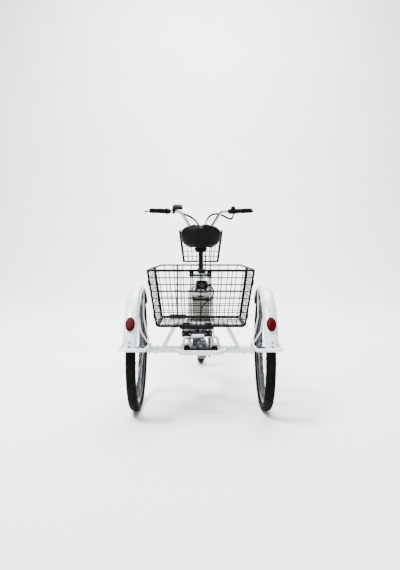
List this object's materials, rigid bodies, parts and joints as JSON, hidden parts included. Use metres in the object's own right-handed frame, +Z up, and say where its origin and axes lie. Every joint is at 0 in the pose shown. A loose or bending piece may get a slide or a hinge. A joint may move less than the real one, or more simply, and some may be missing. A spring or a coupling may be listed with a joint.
{
  "type": "electric tricycle",
  "caption": "Step-through electric tricycle with wire baskets front and rear, a sprung saddle, swept handlebars, a battery behind the seat tube and a motor driving the rear axle.",
  "frame": {"origin": "on the ground at the middle of the footprint", "axes": "+Y forward, +X to the rider's right, +Z up"},
  "size_m": [0.7398, 1.8294, 1.0981],
  "materials": {
    "white_enamel": "gloss enamel",
    "black_wire": "black coated wire",
    "tyre": "black tread rubber",
    "alloy": "brushed",
    "steel": "zinc plated",
    "bar_chrome": "polished",
    "yellow_zinc": "yellow zinc plated",
    "grip_rubber": "ribbed grip",
    "black_plastic": "moulded, lightly grained",
    "grey_case": "moulded case",
    "seat_cover": "padded vinyl cover",
    "reflector_red": "prismatic lens"
  },
  "bodies": {
    "frame": {"axle_cradle": "black_plastic", "basket_clamp_bar": "black_plastic", "basket_support_arch": "white_enamel", "battery_rail": "alloy", "controller": "black_plastic", "drive_chain": "steel", "drive_motor": "black_plastic", "key_switch_box": "black_plastic", "main_frame": "white_enamel", "motor_cable": "black_plastic", "rear_basket_back": "black_wire", "rear_basket_floor": "black_wire", "rear_basket_front": "black_wire", "rear_basket_left": "black_wire", "rear_basket_right": "black_wire", "rear_fender_left": "white_enamel", "rear_fender_right": "white_enamel", "rear_frame": "white_enamel", "reflector_left": "reflector_red", "reflector_right": "reflector_red", "seat_clamp": "black_plastic", "wheel_guard_left": "white_enamel", "wheel_guard_right": "white_enamel"},
    "steering": {"fork": "white_enamel", "front_fender": "white_enamel", "stem": "bar_chrome", "handlebar": "bar_chrome", "front_basket": "black_wire", "front_brake_cable": "black_plastic", "control_harness": "black_plastic", "grip_left": "grip_rubber", "grip_right": "grip_rubber", "brake_bracket_left": "black_plastic", "brake_bracket_right": "black_plastic", "display_unit": "black_plastic"},
    "front_wheel": {"front_tyre": "tyre", "front_rim": "alloy"},
    "rear_wheel_left": {"rear_tyre_left": "tyre", "rear_rim_left": "alloy"},
    "rear_wheel_right": {"rear_tyre_right": "tyre", "rear_rim_right": "alloy"},
    "cranks": {"crankset": "alloy"},
    "pedal_left": {"pedal_left": "grey_case"},
    "pedal_right": {"pedal_right": "grey_case"},
    "differential": {"differential_case": "alloy", "drive_sprocket": "yellow_zinc"},
    "brake_lever_left": {"brake_lever_left": "black_plastic"},
    "brake_lever_right": {"brake_lever_right": "black_plastic"},
    "throttle": {"throttle_sleeve": "black_plastic"},
    "seat": {"seat_post": "black_plastic", "saddle_frame": "black_plastic", "saddle_cushion": "seat_cover", "saddle_spring_left": "bar_chrome", "saddle_spring_right": "bar_chrome"},
    "seat_clamp_lever": {"seat_clamp_lever": "black_plastic"},
    "battery": {"battery_case": "grey_case"},
    "key_barrel": {"key_barrel": "steel"},
    "display_button": {"display_button": "grey_case"},
    "horn_button": {"horn_button": "reflector_red"}
  },
  "joints": [
    {"name": "steering_turn", "type": "hinge", "parent": "frame", "child": "steering", "pos_m": [0, 0.43976, 0.64921], "axis": [0, -0.342, 0.9397], "range_deg": [-45, 45], "deforming": ["control_harness"]},
    {"name": "front_wheel_spin", "type": "hinge", "parent": "steering", "child": "front_wheel", "pos_m": [0, 0.61475, 0.3], "axis": [1, 0, 0], "continuous": true},
    {"name": "rear_wheel_left_spin", "type": "hinge", "parent": "frame", "child": "rear_wheel_left", "pos_m": [-0.32, -0.55525, 0.3], "axis": [1, 0, 0], "continuous": true},
    {"name": "rear_wheel_right_spin", "type": "hinge", "parent": "frame", "child": "rear_wheel_right", "pos_m": [0.32, -0.55525, 0.3], "axis": [1, 0, 0], "continuous": true},
    {"name": "crank_spin", "type": "hinge", "parent": "frame", "child": "cranks", "pos_m": [0, -0.11665, 0.32], "axis": [1, 0, 0], "continuous": true},
    {"name": "differential_spin", "type": "hinge", "parent": "frame", "child": "differential", "pos_m": [0, -0.55525, 0.3], "axis": [1, 0, 0], "continuous": true},
    {"name": "pedal_left_spin", "type": "hinge", "parent": "cranks", "child": "pedal_left", "pos_m": [0, 0.02527, 0.39388], "axis": [1, 0, 0], "continuous": true},
    {"name": "pedal_right_spin", "type": "hinge", "parent": "cranks", "child": "pedal_right", "pos_m": [0, -0.25857, 0.24612], "axis": [1, 0, 0], "continuous": true},
    {"name": "brake_lever_left_pull", "type": "hinge", "parent": "steering", "child": "brake_lever_left", "pos_m": [-0.23157, 0.31852, 1.052], "axis": [0, 0, 1], "range_deg": [0, 14], "stiffness_Nm_per_rad": 1.5},
    {"name": "brake_lever_right_pull", "type": "hinge", "parent": "steering", "child": "brake_lever_right", "pos_m": [0.21313, 0.32856, 1.052], "axis": [0, 0, -1], "range_deg": [0, 14], "stiffness_Nm_per_rad": 1.5},
    {"name": "throttle_twist", "type": "hinge", "parent": "steering", "child": "throttle", "pos_m": [0.22237, 0.27799, 1.052], "axis": [0.8782, -0.4782, 0], "range_deg": [0, 60], "stiffness_Nm_per_rad": 0.3},
    {"name": "seat_height", "type": "slide", "parent": "frame", "child": "seat", "axis": [0, -0.309, 0.9511], "range_m": [-0.04, 0.1]},
    {"name": "seat_lever_open", "type": "hinge", "parent": "frame", "child": "seat_clamp_lever", "pos_m": [0.0175, -0.2633, 0.67588], "axis": [1, 0, 0], "range_deg": [0, 150]},
    {"name": "battery_lift", "type": "slide", "parent": "frame", "child": "battery", "axis": [0, -0.309, 0.9511], "range_m": [0, 0.1]},
    {"name": "key_turn", "type": "hinge", "parent": "frame", "child": "key_barrel", "pos_m": [0.005, -0.38775, 0.613], "axis": [0, 1, 0], "range_deg": [0, 90]},
    {"name": "display_button_press", "type": "slide", "parent": "steering", "child": "display_button", "axis": [0, 0.5736, -0.8192], "range_m": [0, 0.0012], "stiffness_N_per_m": 400},
    {"name": "horn_button_press", "type": "slide", "parent": "steering", "child": "horn_button", "axis": [0.4782, 0.8782, 0], "range_m": [0, 0.0012], "stiffness_N_per_m": 400}
  ],
  "couplings": [
    {"joint": "differential_spin", "follows": "crank_spin", "ratio": 2}
  ]
}
